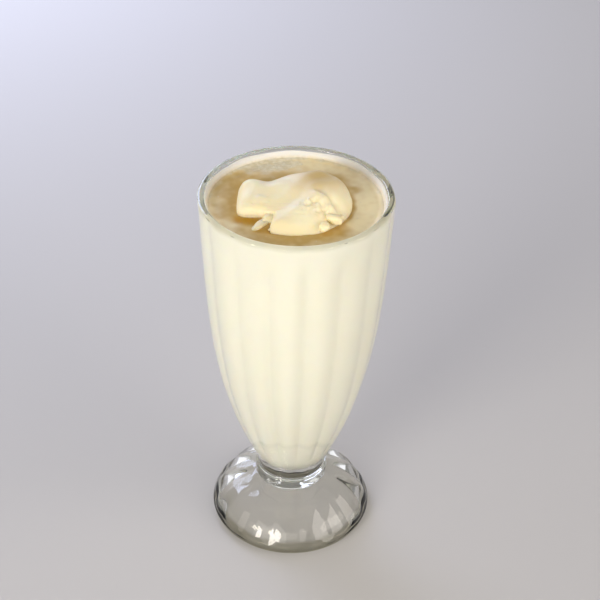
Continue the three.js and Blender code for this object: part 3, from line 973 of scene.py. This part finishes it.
class MilkshakeScoop(bpy.types.PropertyGroup):
    """Sizes of the floating scoop and of the froth round it."""

    width: length_field("Width", "Width of the scoop from left to right", 48.2, 30, 60)
    depth: length_field("Depth", "Depth of the scoop from front to back", 41.0, 30, 60)
    rise: length_field("Rise", "How far the scoop stands out of the drink", 9.0, 4, 16)
    notch: length_field("Notch", "Depth of the melted notch at the front left", 9.8, 0.0, 12)
    climb: length_field("Film height", "How far a film of froth climbs the wall", 3.3, 0.5, 3.4)
    bubble_size: length_field("Bubble size", "Usual width of a bubble", 0.4, 0.2, 2)
    bubble_tries: IntProperty(
        name="Bubble draws", description="Places tried for bubbles", default=3000, min=0, max=9000,
    )


class MilkshakeStudio(bpy.types.PropertyGroup):
    """Colours and light of the stage."""

    floor_colour: FloatVectorProperty(
        name="Floor", description="Colour of the floor", subtype="COLOR",
        default=linear("#C3C0BE")[:3], min=0.0, max=1.0,
    )
    key_power: power_field("Key light", "Power of the window light", 6.4)
    front_power: power_field("Front light", "Power of the broad front light", 9.6)
    side_power: power_field("Side light", "Power of the light on the right", 12.5)
    back_power: power_field("Back light", "Power of the cool light behind", 9.0)
    backdrop_power: power_field("Backdrop light", "Power of the light on the floor behind", 5.4)
    fill_strength: FloatProperty(
        name="Fill", description="Strength of the even light all round", default=0.35, min=0.0,
    )


class MILKSHAKE_OT_glass(bpy.types.Operator):
    """Build the fluted soda glass"""

    bl_idname = "milkshake.glass"
    bl_label = "Soda Glass"

    def execute(self, context):
        piece = make_glass(context.scene.milkshake_glass)
        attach(piece, "root")
        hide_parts("glass")
        return {"FINISHED"}


class MILKSHAKE_OT_drink(bpy.types.Operator):
    """Build the milkshake that fills the glass"""

    bl_idname = "milkshake.drink"
    bl_label = "Milkshake"

    def execute(self, context):
        piece = make_drink(context.scene.milkshake_glass, context.scene.milkshake_scoop)
        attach(piece, "root")
        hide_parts("milkshake")
        return {"FINISHED"}


class MILKSHAKE_OT_scoop(bpy.types.Operator):
    """Build the ice cream scoop afloat in the drink"""

    bl_idname = "milkshake.scoop"
    bl_label = "Ice Cream Scoop"

    def execute(self, context):
        piece = make_scoop(context.scene.milkshake_scoop)
        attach(piece, "root")
        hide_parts("ice_cream_scoop")
        return {"FINISHED"}


class MILKSHAKE_OT_crumbs(bpy.types.Operator):
    """Add the crumbs of ice cream that melt beside the scoop"""

    bl_idname = "milkshake.crumbs"
    bl_label = "Crumbs"

    def execute(self, context):
        piece = make_crumbs()
        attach(piece, "root")
        return {"FINISHED"}


class MILKSHAKE_OT_froth(bpy.types.Operator):
    """Scatter bubbles of froth on the drink"""

    bl_idname = "milkshake.froth"
    bl_label = "Froth"

    def execute(self, context):
        piece = make_froth(context.scene.milkshake_scoop)
        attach(piece, "root")
        return {"FINISHED"}


def add_soft_light(name, target, azimuth, elevation, distance, size, power, colour):
    """A rectangular light that faces a point, placed by azimuth from the front and elevation in degrees.

    Its distance, width and height are in metres.
    """
    light = bpy.data.lights.new(name, "AREA")
    light.shape = "RECTANGLE"
    light.size, light.size_y = size
    light.energy = power
    light.color = linear(colour)[:3]
    made = bpy.data.objects.new(name, light)
    bpy.context.scene.collection.objects.link(made)
    azimuth, elevation = np.radians(azimuth), np.radians(elevation)
    outwards = cartesian(np.cos(elevation), azimuth, np.sin(elevation))
    side = np.cross((0, 0, 1), outwards)
    side /= np.linalg.norm(side)
    up = np.cross(outwards, side)
    made.matrix_world = place_matrix(side, up, outwards, np.array(target) + outwards * distance)
    return made


def place_matrix(right, up, back, place):
    """A 4 by 4 matrix from three axes and a place."""
    rows = [[right[i], up[i], back[i], place[i]] for i in range(3)]
    return Matrix([*rows, [0, 0, 0, 1]])


def add_camera():
    """The photograph's camera: its elevation, distance and roll, and its aim beside the glass."""
    back = np.array([0, -np.cos(CAMERA_ELEVATION), np.sin(CAMERA_ELEVATION)])
    place = np.array([0, 0, HEIGHT / 2]) + back * CAMERA_DISTANCE
    upright = np.cross((1, 0, 0), -back)
    off_x, off_y = ((aim - PHOTO_SIZE / 2) / FOCAL_PIXELS for aim in AIM_PIXEL)
    sight = -back - off_x * np.array([1.0, 0, 0]) + off_y * upright
    sight /= np.linalg.norm(sight)
    right = np.cross(sight, (0, 0, 1))
    right /= np.linalg.norm(right)
    up = np.cross(right, sight)
    cos, sin = np.cos(CAMERA_ROLL), np.sin(CAMERA_ROLL)
    data = bpy.data.cameras.new("photo_camera")
    data.sensor_width = SENSOR_WIDTH
    data.lens = SENSOR_WIDTH * FOCAL_PIXELS / PHOTO_SIZE
    camera = bpy.data.objects.new("photo_camera", data)
    bpy.context.scene.collection.objects.link(camera)
    camera.matrix_world = place_matrix(cos * right + sin * up, cos * up - sin * right, -sight, place * MM)
    bpy.context.scene.camera = camera


class MILKSHAKE_OT_stage(bpy.types.Operator):
    """Add the floor, the light and the camera"""

    bl_idname = "milkshake.stage"
    bl_label = "Stage"

    def execute(self, context):
        look = context.scene.milkshake_studio
        corners = np.array([(-1, -1), (1, -1), (1, 1), (-1, 1)]) * FLOOR_HALF / MM
        floor = add_mesh(
            "studio_floor",
            np.concatenate([corners, np.full((4, 1), FLOOR_Z)], axis=1),
            np.array([[0, 1, 2, 3]]),
            np.zeros((0, 3), int),
            stage_material(look),
        )
        middle = (0, 0, HEIGHT * MM / 2)
        backdrop = (-0.4, 0.6, 0)
        add_soft_light("window_light", middle, -36, 20, 1.2, (0.42, 0.36), look.key_power, "#FFFAF2")
        add_soft_light("front_light", middle, -31, 23, 1.8, (2.0, 0.9), look.front_power, "#FFFBF4")
        add_soft_light("side_light", middle, 66, 22, 1.5, (1.4, 0.9), look.side_power, "#FFF8F0")
        add_soft_light("back_light", middle, -165, 10, 1.6, (2.6, 1.0), look.back_power, "#EEF0FA")
        add_soft_light("backdrop_light", backdrop, 180, 75, 0.55, (0.5, 0.5), look.backdrop_power, "#D2DCFF")
        world = bpy.data.worlds.new("studio_fill")
        world.use_nodes = True
        sky = world.node_tree.nodes["Background"]
        sky.inputs["Color"].default_value = linear("#F0EFEE")
        sky.inputs["Strength"].default_value = look.fill_strength
        context.scene.world = world
        context.scene.view_settings.view_transform = "Standard"
        add_camera()
        return {"FINISHED"}


class MILKSHAKE_PT_panel(bpy.types.Panel):
    """Sizes, looks and pieces of the milkshake"""

    bl_idname = "MILKSHAKE_PT_panel"
    bl_label = "Vanilla Milkshake"
    bl_space_type = "VIEW_3D"
    bl_region_type = "UI"
    bl_category = "Milkshake"

    def draw(self, context):
        for group in GROUPS:
            settings = getattr(context.scene, group)
            for name in settings.bl_rna.properties.keys():
                if name not in ("rna_type", "name"):
                    self.layout.prop(settings, name)
        for piece in PIECES:
            self.layout.operator(piece.bl_idname)


GROUPS = {
    "milkshake_glass": MilkshakeGlass,
    "milkshake_scoop": MilkshakeScoop,
    "milkshake_studio": MilkshakeStudio,
}
PIECES = (
    MILKSHAKE_OT_glass,
    MILKSHAKE_OT_drink,
    MILKSHAKE_OT_scoop,
    MILKSHAKE_OT_crumbs,
    MILKSHAKE_OT_froth,
    MILKSHAKE_OT_stage,
)
CLASSES = (*GROUPS.values(), *PIECES, MILKSHAKE_PT_panel)


def register():
    for each in CLASSES:
        bpy.utils.register_class(each)
    for name, group in GROUPS.items():
        setattr(bpy.types.Scene, name, PointerProperty(type=group))


def unregister():
    for name in GROUPS:
        delattr(bpy.types.Scene, name)
    for each in reversed(CLASSES):
        bpy.utils.unregister_class(each)


def main():
    register()
    bpy.ops.milkshake.glass()
    bpy.ops.milkshake.drink()
    bpy.ops.milkshake.scoop()
    bpy.ops.milkshake.crumbs()
    bpy.ops.milkshake.froth()
    bpy.ops.milkshake.stage()


if __name__ == "__main__":
    main()
